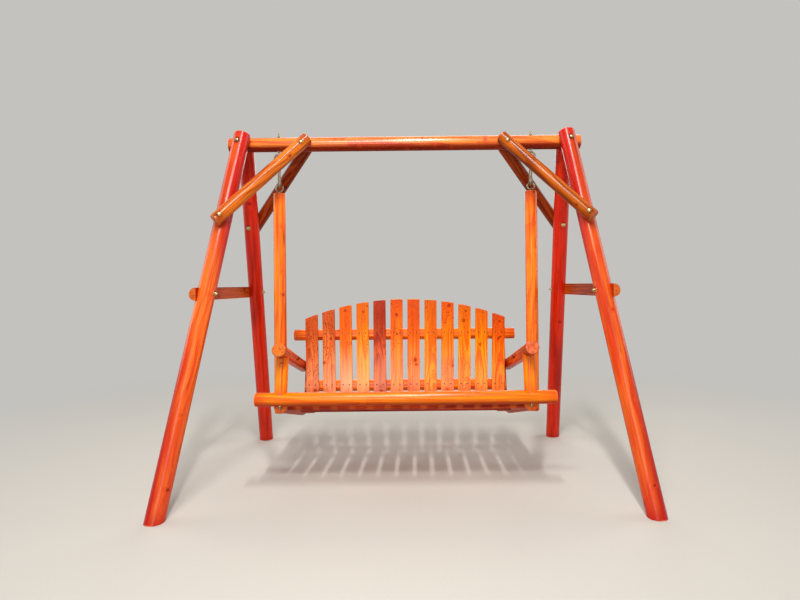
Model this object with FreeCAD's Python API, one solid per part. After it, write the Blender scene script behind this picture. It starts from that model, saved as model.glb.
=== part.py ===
import FreeCAD, Part
import math
import os

# Log swing chair: an A-frame of turned logs and a two-seat slatted bench hung from its beam.
# Millimetres. X runs along the beam, Y runs to the back, Z is up.
# The origin lies on the ground, midway between the four feet.

# Driving dimensions of the frame
leg_diameter = 78.0
beam_diameter = 70.0
beam_height = 1630.0
beam_half_length = 875.0
beam_tail = 71.0
front_top_inset = 8.0
rear_top_outset = 10.0
leg_housing = 1.5
front_leg_splay = 194.0
rear_leg_splay = 53.0
foot_y = 595.0
leg_above_bolt = 40.0
knee_diameter = 60.0
knee_reach = 332.0
knee_top_drop = 6.0
front_knee_drop = 379.0
rear_knee_drop = 398.0
front_knee_inset = 8.1
rear_knee_outset = 6.1
knee_top_housing = 6.0
knee_slope_share = 1.1
knee_housing = 10.0
knee_tail = 38.0
cross_diameter = 58.0
cross_drop = 737.0
cross_tail = 58.0
cross_housing = 16.0

# Driving dimensions of the hanging parts
hanger_outset = 79.5
upper_eye_below_beam = 35.0
upper_eye_wire = 9.0
upper_eye_bore = 36.0
eye_spacing = 148.0
post_eye_wire = 8.0
post_eye_bore = 26.0
post_eye_depth = 80.0
link_wire = 8.0
link_bend = 14.0
link_turn = 30.0
post_head = 44.0
post_below_rail = 119.0
post_lean = 4.65
post_splay = 0.97

# Driving dimensions of the bench; its own frame starts on the front rail's axis
bench_log = 60.0
bench_tilt = 14.0
balance_share = 0.54355
rail_height = 426.0
rail_overhang = 113.0
arm_rise = 206.0
arm_ahead = 96.0
arm_front_x = 549.0
arm_splay = 19.0
side_drop = 28.0
side_start = 8.0
side_length = 612.0
upright_inset = 51.0
upright_housing = 10.4
upright_above_rail = 49.5
upright_foot = 48.0
bearer_drop = 16.5
rear_bearer_ahead = 77.0
back_rail_ahead = 54.0
lower_rail_rise = 93.0
upper_rail_rise = 365.5
upper_rail_overhang = 29.0
lower_rail_inset = 38.0
back_shift = -12.0
upper_rail_shift = -17.0
support_diameter = 56.0
knee_flat = 1.5
tenon_diameter = 30.0
tenon_length = 22.0
dowel_diameter = 16.0
dowel_start = 10.0
dowel_length = 32.0
dowel_drop = 17.0

# Boards
seat_slats = 13
seat_slat_width = 61.0
seat_side_gap = 9.7
back_slats = 12
back_slat_width = 66.0
back_side_gap = 49.9
back_slat_fan = 4.8
slat_thickness = 18.0
slat_edge = 2.0
back_slat_foot = 38.0
arch_above_rail = 186.0
arch_radius = 1439.0
log_flat = 3.0

# Fasteners
bolt_diameter = 10.0
bolt_head_diameter = 20.0
bolt_head_height = 6.0
washer_diameter = 22.0
washer_thickness = 2.0
nut_across = 17.0
nut_height = 8.0
bolt_tip = 6.0
eye_stud_tip = 16.0
spot_depth = 4.5
spot_diameter = 26.0
lag_diameter = 8.0
lag_head_across = 13.0
lag_head_height = 5.5
lag_tail = 12.0
nail_diameter = 3.2
nail_head_diameter = 7.0
nail_head_height = 1.0
nail_length = 42.0
nail_spread_share = 0.5

# Named clearances
seat_gap = 0.3
bore_gap = 0.3
thread_gap = 0.1
nail_gap = 0.1
running_gap = 0.3
end_ease = 3.0
overrun = 60.0
board_gap = 3.0

os.makedirs("parts", exist_ok=True)

V = FreeCAD.Vector
ACROSS = V(1, 0, 0)
BACK = V(0, 1, 0)
UP = V(0, 0, 1)
leg_radius = leg_diameter / 2
beam_radius = beam_diameter / 2
bench_radius = bench_log / 2
knee_radius = knee_diameter / 2
tilt = math.radians(bench_tilt)

# Places in the frame that follow from the beam's length and height
leg_bolt_x = beam_half_length - beam_tail
front_top_x = leg_bolt_x - front_top_inset
rear_top_x = leg_bolt_x + rear_top_outset
front_foot_x = front_top_x + front_leg_splay
rear_foot_x = rear_top_x + rear_leg_splay
leg_bolt_y = beam_radius + leg_radius - leg_housing
knee_top_y = beam_radius + knee_radius - knee_top_housing
cross_height = beam_height - cross_drop
upper_eye_height = beam_height - beam_radius - upper_eye_below_beam
post_eye_height = upper_eye_height - eye_spacing

# Places on the bench that follow from its width and from the length of its side rails
arm_rear_x = arm_front_x + arm_splay
hanger_x = arm_front_x + hanger_outset
rail_half_length = arm_front_x + rail_overhang
side_back = side_start + side_length
rail_ahead = side_back * balance_share
arm_length = arm_ahead + side_back
upright_y = side_back - upright_inset
back_rail_y = upright_y - back_rail_ahead
rear_bearer_y = back_rail_y - rear_bearer_ahead
upright_top = upper_rail_rise + upright_above_rail
arch_crown = upper_rail_rise + arch_above_rail
upright_half_x = (arm_front_x + arm_splay * (upright_y + arm_ahead) / arm_length
                  - bench_log + upright_housing)
upper_rail_half_length = arm_rear_x + upper_rail_overhang
lower_rail_half_length = arm_rear_x - lower_rail_inset
seat_half_width = arm_front_x - bench_radius - seat_side_gap
seat_slat_pitch = (2 * seat_half_width - seat_slat_width) / (seat_slats - 1)
back_half_width = arm_rear_x - back_side_gap
back_slat_foot_pitch = (2 * back_half_width - back_slat_width) / (back_slats - 1)
back_slat_top_pitch = back_slat_foot_pitch + back_slat_fan

# The bench's own frame: y runs back along the seat and z square to it, leaning back by the tilt.
bench_place = FreeCAD.Placement(
    V(0, -rail_ahead, rail_height), FreeCAD.Rotation(ACROSS, -bench_tilt))


def save(node, shape):
    """Write one node."""
    shape.exportStep("parts/" + node + ".step")


def save_on_bench(node, shape):
    """Write one node that was drawn in the bench's own frame."""
    placed = shape.copy()
    placed.Placement = bench_place.multiply(placed.Placement)
    save(node, placed)


def rod(start, end, diameter):
    """A plain cylinder from one point to another."""
    run = end - start
    return Part.makeCylinder(diameter / 2, run.Length, start, run)


def turned_log(start, end, diameter):
    """A cylinder with both end edges eased."""
    body = rod(start, end, diameter)
    rims = [e for e in body.Edges if e.Curve.TypeId == "Part::GeomCircle"]
    return body.makeChamfer(end_ease, rims)


def cut_all(body, tools):
    """Take every tool away from a body."""
    return body.cut(tools)


def hex_prism(centre, direction, across, height):
    """A six-sided block standing on a point along a direction."""
    corner = across / math.sqrt(3)
    points = []
    for k in range(7):
        turn = math.radians(60 * k)
        points.append(V(corner * math.cos(turn), corner * math.sin(turn), 0))
    block = Part.Face(Part.makePolygon(points)).extrude(V(0, 0, height))
    block.Placement = FreeCAD.Placement(centre, FreeCAD.Rotation(UP, direction))
    return block


def dome(centre, direction, diameter, height):
    """A shallow round bolt head standing on a point along a direction."""
    radius = (diameter * diameter / 4 + height * height) / (2 * height)
    ball = Part.makeSphere(radius, V(0, 0, height - radius))
    head = ball.common(Part.makeCylinder(diameter / 2, height))
    head.Placement = FreeCAD.Placement(centre, FreeCAD.Rotation(UP, direction))
    return head


def bolt(head_face, nut_face):
    """A round-headed bolt from its head's seat to just past its nut."""
    run = nut_face - head_face
    along = run / run.Length
    tip = nut_face + along * (washer_thickness + nut_height + bolt_tip)
    shank = rod(head_face, tip, bolt_diameter)
    return shank.fuse(dome(head_face, along * -1, bolt_head_diameter, bolt_head_height))


def nut_and_washer(head_face, nut_face):
    """The washer and the nut at a bolt's far end, as two solids."""
    run = nut_face - head_face
    along = run / run.Length
    hole = rod(nut_face - along * overrun, nut_face + along * overrun,
               bolt_diameter + 2 * thread_gap)
    washer = rod(nut_face, nut_face + along * washer_thickness, washer_diameter)
    nut = hex_prism(nut_face + along * washer_thickness, along, nut_across, nut_height)
    return [washer.cut(hole), nut.cut(hole)]


def bolt_bore(head_face, nut_face):
    """The hole a bolt passes through."""
    run = nut_face - head_face
    along = run / run.Length
    return rod(head_face - along * overrun, nut_face + along * overrun,
               bolt_diameter + 2 * bore_gap)


def spot(face, outward):
    """A round flat sunk into a log where a head or a washer sits."""
    return rod(face, face + outward * overrun, spot_diameter)


def mirror(shape):
    """The same shape on the other side of the middle plane."""
    return shape.mirror(V(0, 0, 0), ACROSS)


def on_side(side, shape):
    """A shape drawn on the right, put on its side."""
    return shape if side > 0 else mirror(shape)


# Lines of the frame
sides = (("left", -1), ("right", 1))
ends = (("front", -1), ("rear", 1))
top_x = {-1: front_top_x, 1: rear_top_x}
foot_x = {-1: front_foot_x, 1: rear_foot_x}


def leg_point(end, height):
    """The point of a right-hand leg's axis at a height."""
    share = (beam_height - height) / beam_height
    x = top_x[end] + (foot_x[end] - top_x[end]) * share
    y = leg_bolt_y + (foot_y - leg_bolt_y) * share
    return V(x, end * y, height)


def leg_axis(end):
    """The direction of a right-hand leg, upwards."""
    run = leg_point(end, beam_height) - leg_point(end, 0)
    return run / run.Length


# How much longer a level slice of a leg, fore and aft, is than the leg's diameter
leg_lean = math.hypot(foot_y - leg_bolt_y, beam_height) / beam_height


beam_core = rod(V(-beam_half_length, 0, beam_height), V(beam_half_length, 0, beam_height),
                beam_diameter + 2 * seat_gap)
ground = Part.makeBox(4 * front_foot_x, 4 * front_foot_x, 2 * overrun,
                      V(-2 * front_foot_x, -2 * front_foot_x, -2 * overrun))

# Bolts of the frame, each as head face and nut face, on the right-hand side
half_leg = leg_radius * leg_lean
top_face = leg_bolt_y + half_leg - spot_depth
leg_top_bolt = (V(leg_bolt_x, -top_face, beam_height), V(leg_bolt_x, top_face, beam_height))

knee_top_height = beam_height - knee_top_drop
knee_foot_height = {-1: beam_height - front_knee_drop, 1: beam_height - rear_knee_drop}
knee_step = {-1: -front_knee_inset, 1: rear_knee_outset}
knee_seat = leg_radius + knee_radius - knee_housing
knee_top_x = leg_point(-1, knee_foot_height[-1]).x - front_knee_inset - knee_reach
knees = {}
for end_name, end in ends:
    leg_at = leg_point(end, knee_foot_height[end])
    upper = V(knee_top_x, end * knee_top_y, knee_top_height)
    lower = V(leg_at.x + knee_step[end], leg_at.y + end * knee_seat * leg_lean, leg_at.z)
    knees[end_name] = (upper, lower)

knee_half = knee_radius * knee_slope_share
knee_face = knee_top_y + knee_half - spot_depth
knee_top_bolt = (V(knee_top_x, -knee_face, knee_top_height),
                 V(knee_top_x, knee_face, knee_top_height))
knee_foot_bolts = {}
for end_name, end in ends:
    lower = knees[end_name][1]
    leg_at = leg_point(end, lower.z)
    outer = V(lower.x, lower.y + end * (knee_half - spot_depth), lower.z)
    inner = V(lower.x, leg_at.y - end * (half_leg - 2 * spot_depth), lower.z)
    knee_foot_bolts[end_name] = (outer, inner)

# The cross brace is half a log, its flat side against the outer sides of both legs
front_at = leg_point(-1, cross_height)
rear_at = leg_point(1, cross_height)
cross_seat = leg_radius - cross_housing
cross_run = rear_at - front_at
cross_run.z = 0
cross_along = cross_run / cross_run.Length
cross_out = V(cross_along.y, -cross_along.x, 0)
cross_start = front_at + cross_out * cross_seat - cross_along * cross_tail
cross_end = rear_at + cross_out * cross_seat + cross_along * cross_tail
cross_radius = cross_diameter / 2
cross_bolts = []
for leg_at in (front_at, rear_at):
    outer = leg_at + cross_out * (cross_seat + cross_radius - spot_depth)
    inner = leg_at - cross_out * (leg_radius - spot_depth)
    cross_bolts.append((outer, inner))


def half_log(start, end, outward, diameter, grow):
    """Half a log: the round side faces outward and the flat side holds the axis."""
    whole = rod(start, end, diameter + 2 * grow)
    along = (end - start) / (end - start).Length
    side = along.cross(outward)
    back = start - outward * diameter - side * diameter - along * overrun
    block = Part.makeBox(diameter - grow, 2 * diameter, (end - start).Length + 2 * overrun)
    turn = FreeCAD.Rotation(outward, side, along, "ZXY")
    block.Placement = FreeCAD.Placement(back, turn)
    return whole.cut(block)


cross_brace = half_log(cross_start, cross_end, cross_out, cross_diameter, 0)
cross_space = half_log(cross_start, cross_end, cross_out, cross_diameter, seat_gap)
for outer, inner in cross_bolts:
    cross_brace = cross_brace.cut(bolt_bore(outer, inner)).cut(spot(outer, cross_out))

# Beam, with the holes and flats of everything that passes through it
eye_nut_height = beam_height + beam_radius - spot_depth
eye_collar_height = beam_height - beam_radius + spot_depth
beam_tools = []
for side_name, side in sides:
    for head, far in (leg_top_bolt, knee_top_bolt):
        beam_tools.append(bolt_bore(V(side * head.x, head.y, head.z), V(side * far.x, far.y, far.z)))
    top = V(side * hanger_x, 0, eye_nut_height)
    low = V(side * hanger_x, 0, eye_collar_height)
    beam_tools.append(bolt_bore(low, top))
    beam_tools.append(spot(top, UP))
    beam_tools.append(spot(low, UP * -1))
beam = turned_log(V(-beam_half_length, 0, beam_height), V(beam_half_length, 0, beam_height),
                  beam_diameter)
save("top_beam", cut_all(beam, beam_tools))

# Legs: a saddle for the beam, flats for the braces, a level foot
for end_name, end in ends:
    axis = leg_axis(end)
    foot = leg_point(end, 0) - axis * overrun
    top = leg_point(end, beam_height) + axis * leg_above_bolt
    leg = turned_log(foot, top, leg_diameter)
    outward = BACK * end
    tools = [ground, beam_core, cross_space, bolt_bore(*leg_top_bolt)]
    tools.append(spot(leg_top_bolt[0 if end < 0 else 1], outward))
    outer, inner = knee_foot_bolts[end_name]
    tools.append(bolt_bore(outer, inner))
    tools.append(spot(inner, outward * -1))
    for outer, inner in cross_bolts:
        tools.append(bolt_bore(outer, inner))
    outer, inner = cross_bolts[0 if end < 0 else 1]
    tools.append(spot(inner, cross_out * -1))
    leg = cut_all(leg, tools)
    save("right_" + end_name + "_leg", leg)
    save("left_" + end_name + "_leg", mirror(leg))

    # Knee brace, scribed to the beam and to the leg that it bolts on to
    upper, lower = knees[end_name]
    run = lower - upper
    along = run / run.Length
    knee = turned_log(upper - along * knee_tail, lower + along * knee_tail, knee_diameter)
    leg_core = rod(foot, top + axis * overrun, leg_diameter + 2 * seat_gap)

    # A narrow flat planed along the side that looks outwards and up
    rise_out = outward.cross(along) * end
    rise_out = rise_out * (1 if rise_out.z > 0 else -1)
    flat_way = outward + rise_out
    flat_way = flat_way / flat_way.Length
    flat_side = flat_way.cross(along)
    flat_side = flat_side / flat_side.Length
    shaving = Part.makeBox(knee_diameter, 2 * knee_diameter, run.Length + 4 * knee_tail)
    shaving.Placement = FreeCAD.Placement(
        upper - along * 2 * knee_tail - flat_side * knee_diameter
        + flat_way * (knee_radius - knee_flat),
        FreeCAD.Rotation(flat_way, flat_side, along, "ZXY"))
    tools = [beam_core, leg_core, shaving, bolt_bore(*knee_top_bolt)]
    tools.append(spot(knee_top_bolt[0 if end < 0 else 1], outward))
    outer, inner = knee_foot_bolts[end_name]
    tools.append(bolt_bore(outer, inner))
    tools.append(spot(outer, outward))
    knee = cut_all(knee, tools)
    solids = sorted(knee.Solids, key=lambda s: s.Volume)
    knee = solids[-1]
    save(end_name + "_right_knee_brace", knee)
    save(end_name + "_left_knee_brace", mirror(knee))

save("right_cross_brace", cross_brace)
save("left_cross_brace", mirror(cross_brace))


def bolt_set(node, pairs, place):
    """Write the bolts and the nuts of one kind. Pairs are listed by side, drawn on the right."""
    bolts = []
    nuts = []
    for side in pairs:
        for head, far in pairs[side]:
            bolts.append(on_side(side, bolt(head, far)))
            nuts.extend(on_side(side, piece) for piece in nut_and_washer(head, far))
    place(node + "_bolts", Part.makeCompound(bolts))
    place(node + "_nuts", Part.makeCompound(nuts))


def both(pairs):
    """The same bolts on either side."""
    return {1: pairs, -1: pairs}


bolt_set("leg_top", both([leg_top_bolt]), save)
bolt_set("knee_brace", both([knee_top_bolt] + list(knee_foot_bolts.values())), save)
bolt_set("cross_brace", both(cross_bolts), save)

# Eyes and links. Each eye is a ring seen from the front, on a shank.


def ring(height, bore, wire):
    """An upright ring whose hole runs fore and aft."""
    return Part.makeTorus((bore + wire) / 2, wire / 2, V(hanger_x, 0, height), BACK)


upper_pin = upper_eye_height - (upper_eye_bore + upper_eye_wire) / 2
lower_pin = post_eye_height + (post_eye_bore + post_eye_wire) / 2

# The hanging post and its eye turn together about the eye's top wire. They are drawn upright
# and then leaned, so that the loaded bench hangs with its weight below that wire.
post_run = V(-math.tan(math.radians(post_splay)), -math.tan(math.radians(post_lean)), -1)
pin_point = V(hanger_x, 0, lower_pin)
hanger_turn = FreeCAD.Rotation(V(0, 0, -1), post_run)
hanger_place = FreeCAD.Placement(pin_point, hanger_turn).multiply(
    FreeCAD.Placement(pin_point * -1, FreeCAD.Rotation()))


def leaned(shape):
    """A shape drawn upright, turned about the pin to the post's lean."""
    turned = shape.copy()
    turned.Placement = hanger_place.multiply(turned.Placement)
    return turned


post_top = lower_pin - post_head
post_bottom = rail_height - post_below_rail

eye_bolt = ring(upper_eye_height, upper_eye_bore, upper_eye_wire)
neck = upper_eye_height + (upper_eye_bore + upper_eye_wire) / 2
stud_top = eye_nut_height + washer_thickness + nut_height + eye_stud_tip
eye_bolt = eye_bolt.fuse(rod(V(hanger_x, 0, neck), V(hanger_x, 0, stud_top), bolt_diameter))
collar_low = V(hanger_x, 0, eye_collar_height - washer_thickness)
collar = rod(collar_low, V(hanger_x, 0, eye_collar_height), washer_diameter)
eye_bolt = eye_bolt.fuse(collar)
save("right_eye_bolt", eye_bolt)
save("left_eye_bolt", mirror(eye_bolt))
eye_nuts = nut_and_washer(V(hanger_x, 0, eye_collar_height), V(hanger_x, 0, eye_nut_height))
save("eye_bolt_nuts", Part.makeCompound(eye_nuts + [mirror(n) for n in eye_nuts]))

post_eye = ring(post_eye_height, post_eye_bore, post_eye_wire)
neck = post_eye_height - (post_eye_bore + post_eye_wire) / 2
eye_foot = post_top - post_eye_depth
post_eye = post_eye.fuse(rod(V(hanger_x, 0, eye_foot), V(hanger_x, 0, neck), post_eye_wire))
eye_flange = rod(V(hanger_x, 0, post_top), V(hanger_x, 0, post_top + washer_thickness),
                 washer_diameter)
post_eye = post_eye.fuse(eye_flange)
post_eye = leaned(post_eye)
save("right_post_eye", post_eye)
save("left_post_eye", mirror(post_eye))

link_top = upper_pin + (upper_eye_wire + link_wire) / 2 + running_gap - link_bend
link_low = lower_pin - (post_eye_wire + link_wire) / 2 - running_gap + link_bend


def link_point(side, height):
    """A point of the link's centre line, half a link's width to one side of its middle."""
    turn = math.radians(link_turn)
    return V(hanger_x + side * link_bend * math.sin(turn), side * link_bend * math.cos(turn), height)


link_section = Part.Wire(Part.makeCircle(link_wire / 2, link_point(1, link_low), UP))
arc_top = Part.Arc(link_point(1, link_top), link_point(0, link_top + link_bend),
                   link_point(-1, link_top))
arc_low = Part.Arc(link_point(-1, link_low), link_point(0, link_low - link_bend),
                   link_point(1, link_low))
link_path = Part.Wire([
    Part.LineSegment(link_point(1, link_low), link_point(1, link_top)).toShape(),
    arc_top.toShape(),
    Part.LineSegment(link_point(-1, link_top), link_point(-1, link_low)).toShape(),
    arc_low.toShape()])
link = link_path.makePipeShell([link_section], True, False)
save("right_link", link)
save("left_link", mirror(link))

# The bench's two sides. The armrests and the side rails spread a little towards the back, and
# the back stands a little to the left of the front. Each side is drawn on the right with its own
# share of that, and put on its side afterwards.


def arm_x(side, y):
    """Where a side's armrest and side rail stand, at a distance back along the seat."""
    spread = arm_front_x + arm_splay * (y + arm_ahead) / arm_length
    return spread + side * back_shift * y / upright_y


def side_line(side, start_y, end_y, rise, diameter):
    """A rod along a side's armrest, at a rise over the front rail."""
    return rod(V(arm_x(side, start_y), start_y, rise), V(arm_x(side, end_y), end_y, rise), diameter)


def crossing(rise):
    """How far back along the seat a line at this rise crosses the hanging post."""
    lean = -post_run.y
    drop = lower_pin - rail_height - rise * math.cos(tilt)
    ahead = rail_ahead - rise * math.sin(tilt) - lean * drop
    return ahead / (math.cos(tilt) + math.sin(tilt) * lean)


def on_bench(shape):
    """A shape drawn in the bench's own frame, put in its place."""
    placed = shape.copy()
    placed.Placement = bench_place.multiply(placed.Placement)
    return placed


arm_back = arm_length - arm_ahead
front_bearer_y = 2 * bench_radius + seat_gap
arm_cores = {}
side_cores = {}
hanger_bolts = {}
upright_bolts = {}
upright_x = {}
for side_name, side in sides:
    arm_cores[side] = side_line(side, -arm_ahead, arm_back, arm_rise, bench_log + 2 * seat_gap)
    side_cores[side] = side_line(side, -overrun, side_back, -side_drop, bench_log + 2 * seat_gap)
    upright_x[side] = upright_half_x + side * back_shift
    hanger_bolts[side] = []
    upright_bolts[side] = []
    for rise in (arm_rise, -side_drop):
        y = crossing(rise)
        post_x = hanger_x + post_run.x * (lower_pin - bench_place.multVec(V(0, y, rise)).z)
        outer_face = post_x + bench_radius - spot_depth
        inner_face = arm_x(side, y) - bench_radius + spot_depth
        hanger_bolts[side].append((V(outer_face, y, rise), V(inner_face, y, rise)))
        outer_face = arm_x(side, upright_y) + bench_radius - spot_depth
        inner_face = upright_x[side] - bench_radius + spot_depth
        upright_bolts[side].append((V(outer_face, upright_y, rise), V(inner_face, upright_y, rise)))

# Hanging posts, outside the bench in the plane of the beam
plain_post = turned_log(V(hanger_x, 0, post_bottom), V(hanger_x, 0, post_top), bench_log)
plain_post = leaned(plain_post.cut(rod(V(hanger_x, 0, eye_foot - thread_gap),
                                       V(hanger_x, 0, post_top + overrun),
                                       post_eye_wire + 2 * thread_gap)))
for side_name, side in sides:
    tools = [arm_cores[side], side_cores[side]]
    for head, far in hanger_bolts[side]:
        tools.append(bolt_bore(head, far))
        tools.append(spot(head, ACROSS))
    post = cut_all(plain_post, [on_bench(tool) for tool in tools])
    save(side_name + "_hanging_post", on_side(side, post))

# From here on everything is drawn in the bench's own frame
rail_core = rod(V(-rail_half_length, 0, 0), V(rail_half_length, 0, 0), bench_log + 2 * seat_gap)
support_x = arm_x(1, 0)
dowel = rod(V(support_x, dowel_start, -dowel_drop),
            V(support_x, dowel_start + dowel_length, -dowel_drop), dowel_diameter)
dowel_space = rod(V(support_x, dowel_start - thread_gap, -dowel_drop),
                  V(support_x, dowel_start + dowel_length + thread_gap, -dowel_drop),
                  dowel_diameter + 2 * thread_gap)
save_on_bench("side_rail_dowels", Part.makeCompound([dowel, mirror(dowel)]))

# Screws that hold the arm supports down, through the front rail from below
support_screw_face = V(support_x, 0, -bench_radius + spot_depth)
screw_top = V(support_x, 0, bench_radius + bench_log + seat_gap)
support_screw = rod(support_screw_face - UP * (lag_head_height + lag_tail), screw_top, lag_diameter)
support_screw = support_screw.fuse(
    hex_prism(support_screw_face - UP * lag_head_height, UP, lag_head_across, lag_head_height))
screw_space = rod(support_screw_face - UP * overrun, screw_top + UP * thread_gap,
                  lag_diameter + 2 * thread_gap)
screw_spot = rod(support_screw_face - UP * overrun, support_screw_face, spot_diameter)
save_on_bench("arm_support_screws", Part.makeCompound([support_screw, mirror(support_screw)]))

# Front rail
front_rail = turned_log(V(-rail_half_length, 0, 0), V(rail_half_length, 0, 0), bench_log)
right_tools = [screw_space, screw_spot, dowel_space]
front_rail = cut_all(front_rail, right_tools + [mirror(t) for t in right_tools])
save_on_bench("front_rail", front_rail)

tenon_foot = V(support_x, 0, arm_rise - bench_radius - tenon_length)
tenon_top = V(support_x, 0, arm_rise - log_flat)
tenon = rod(tenon_foot, tenon_top, tenon_diameter)
tenon_space = rod(tenon_foot, tenon_top + UP * thread_gap, tenon_diameter + 2 * thread_gap)
for side_name, side in sides:
    # Armrest with its round front end, and the short support scribed between it and the rail
    armrest = turned_log(V(arm_x(side, -arm_ahead), -arm_ahead, arm_rise),
                         V(arm_x(side, arm_back), arm_back, arm_rise), bench_log)
    upright_bolt = upright_bolts[side][0]
    hanger_bolt = hanger_bolts[side][0]
    tools = [bolt_bore(*upright_bolt), spot(upright_bolt[0], ACROSS), tenon_space,
             bolt_bore(*hanger_bolt), spot(hanger_bolt[1], ACROSS * -1)]
    save_on_bench(side_name + "_armrest", on_side(side, cut_all(armrest, tools)))

    support = rod(V(support_x, 0, 0), V(support_x, 0, arm_rise), support_diameter)
    support = support.cut(rail_core).cut(arm_cores[side])
    support = sorted(support.Solids, key=lambda s: s.Volume)[-1]
    support = support.fuse(tenon).removeSplitter().cut(screw_space)
    save_on_bench(side_name + "_arm_support", on_side(side, support))

    # Side rail, scribed to the back of the front rail and pinned to it with a hidden dowel
    side_rail = turned_log(V(arm_x(side, side_start), side_start, -side_drop),
                           V(arm_x(side, side_back), side_back, -side_drop), bench_log)
    upright_bolt = upright_bolts[side][1]
    hanger_bolt = hanger_bolts[side][1]
    tools = [rail_core, dowel_space, bolt_bore(*hanger_bolt), spot(hanger_bolt[1], ACROSS * -1),
             bolt_bore(*upright_bolt), spot(upright_bolt[0], ACROSS)]
    for y in (front_bearer_y, rear_bearer_y):
        reach = arm_x(side, y) - bench_radius + tenon_length + thread_gap
        tools.append(rod(V(0, y, -bearer_drop), V(reach, y, -bearer_drop),
                         tenon_diameter + 2 * thread_gap))
    save_on_bench(side_name + "_side_rail", on_side(side, cut_all(side_rail, tools)))

# Boards and their nails
seat_board_low = -bearer_drop + bench_radius - log_flat + seat_gap
seat_board_top = seat_board_low + slat_thickness
seat_front = bench_radius + seat_gap + board_gap
back_face = back_rail_y - bench_radius + log_flat - seat_gap
back_board_front = back_face - slat_thickness
seat_back = back_board_front - board_gap


def nail(head_seat, inward):
    """One nail from the seat of its head."""
    pin = rod(head_seat, head_seat + inward * nail_length, nail_diameter)
    head = rod(head_seat, head_seat - inward * nail_head_height, nail_head_diameter)
    return pin.fuse(head)


def nail_hole(head_seat, inward):
    """The hole of one nail."""
    return rod(head_seat - inward * nail_head_height, head_seat + inward * (nail_length + nail_gap),
               nail_diameter + 2 * nail_gap)


def eased_board(width, depth, length):
    """A board with its four long edges eased."""
    board = Part.makeBox(width, depth, length, V(-width / 2, 0, 0))
    long_edges = [e for e in board.Edges if abs(e.tangentAt(e.FirstParameter).z) > 0.99]
    return board.makeFillet(slat_edge, long_edges)


nails = []
seat_boards = []
bearer_holes = {front_bearer_y: [], rear_bearer_y: []}
for k in range(seat_slats):
    x = (k - (seat_slats - 1) / 2) * seat_slat_pitch
    board = eased_board(seat_slat_width, slat_thickness, seat_back - seat_front)
    board.Placement = FreeCAD.Placement(V(x, seat_front, seat_board_top),
                                        FreeCAD.Rotation(ACROSS, -90))
    holes = []
    for y in bearer_holes:
        for step in (-1, 1):
            at = V(x + step * seat_slat_width * nail_spread_share / 2, y, seat_board_top)
            nails.append(nail(at, UP * -1))
            holes.append(nail_hole(at, UP * -1))
            bearer_holes[y].append(holes[-1])
    seat_boards.append(cut_all(board, holes))
save_on_bench("seat_slats", Part.makeCompound(seat_boards))

rail_holes = {lower_rail_rise: [], upper_rail_rise: []}
arch = Part.makeCylinder(arch_radius, slat_thickness + 2 * overrun,
                         V(back_shift, back_board_front - overrun, arch_crown - arch_radius),
                         BACK)
fan_height = arch_crown - back_slat_foot
for k in range(back_slats):
    step_from_middle = k - (back_slats - 1) / 2
    foot_x = back_shift + step_from_middle * back_slat_foot_pitch
    top_x = back_shift + step_from_middle * back_slat_top_pitch
    slope = (top_x - foot_x) / fan_height
    board = eased_board(back_slat_width, slat_thickness, fan_height + overrun)
    board.Placement = FreeCAD.Placement(
        V(foot_x, back_board_front, back_slat_foot),
        FreeCAD.Rotation(BACK, math.degrees(math.atan(slope))))
    board = board.common(arch)
    holes = []
    for z in rail_holes:
        for step in (-1, 1):
            middle = foot_x + slope * (z - back_slat_foot)
            x = middle + step * back_slat_width * nail_spread_share / 2
            at = V(x, back_board_front, z)
            nails.append(nail(at, BACK))
            holes.append(nail_hole(at, BACK))
            rail_holes[z].append(holes[-1])
    save_on_bench("back_slat_%02d" % (k + 1), cut_all(board, holes))
save_on_bench("slat_nails", Part.makeCompound(nails))

# Bearers under the seat: planed on top, coped and tenoned into the side rails
for bearer_name, y in (("front_seat_bearer", front_bearer_y), ("rear_seat_bearer", rear_bearer_y)):
    left_reach = arm_x(-1, y)
    right_reach = arm_x(1, y)
    bearer = rod(V(-left_reach, y, -bearer_drop), V(right_reach, y, -bearer_drop), bench_log)
    plane = Part.makeBox(left_reach + right_reach, bench_log, bench_log,
                         V(-left_reach, y - bench_radius, bench_radius - bearer_drop - log_flat))
    bearer = bearer.cut(plane).cut(side_cores[1]).cut(mirror(side_cores[-1])).cut(rail_core)
    bearer = sorted(bearer.Solids, key=lambda s: s.Volume)[-1]
    inset = bench_radius - tenon_length
    core = rod(V(inset - left_reach, y, -bearer_drop), V(right_reach - inset, y, -bearer_drop),
               tenon_diameter)
    bearer = bearer.fuse(core).removeSplitter()
    save_on_bench(bearer_name, cut_all(bearer, bearer_holes[y]))

# Back rails, planed in front, and the uprights behind them
lag_face = upright_y + bench_radius - spot_depth
lag_tip = back_rail_y + log_flat


def lag(side, z):
    """One screw through an upright into a back rail."""
    head = V(upright_x[side], lag_face, z)
    screw = rod(head, V(upright_x[side], lag_tip, z), lag_diameter)
    return on_side(side, screw.fuse(hex_prism(head, BACK, lag_head_across, lag_head_height)))


def lag_space(side, z):
    """The hole of one screw through an upright into a back rail, drawn on the right."""
    return rod(V(upright_x[side], lag_face + overrun, z), V(upright_x[side], lag_tip - thread_gap, z),
               lag_diameter + 2 * thread_gap)


rises = (lower_rail_rise, upper_rail_rise)
save_on_bench("back_rail_screws",
              Part.makeCompound([lag(side, z) for side_name, side in sides for z in rises]))

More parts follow.
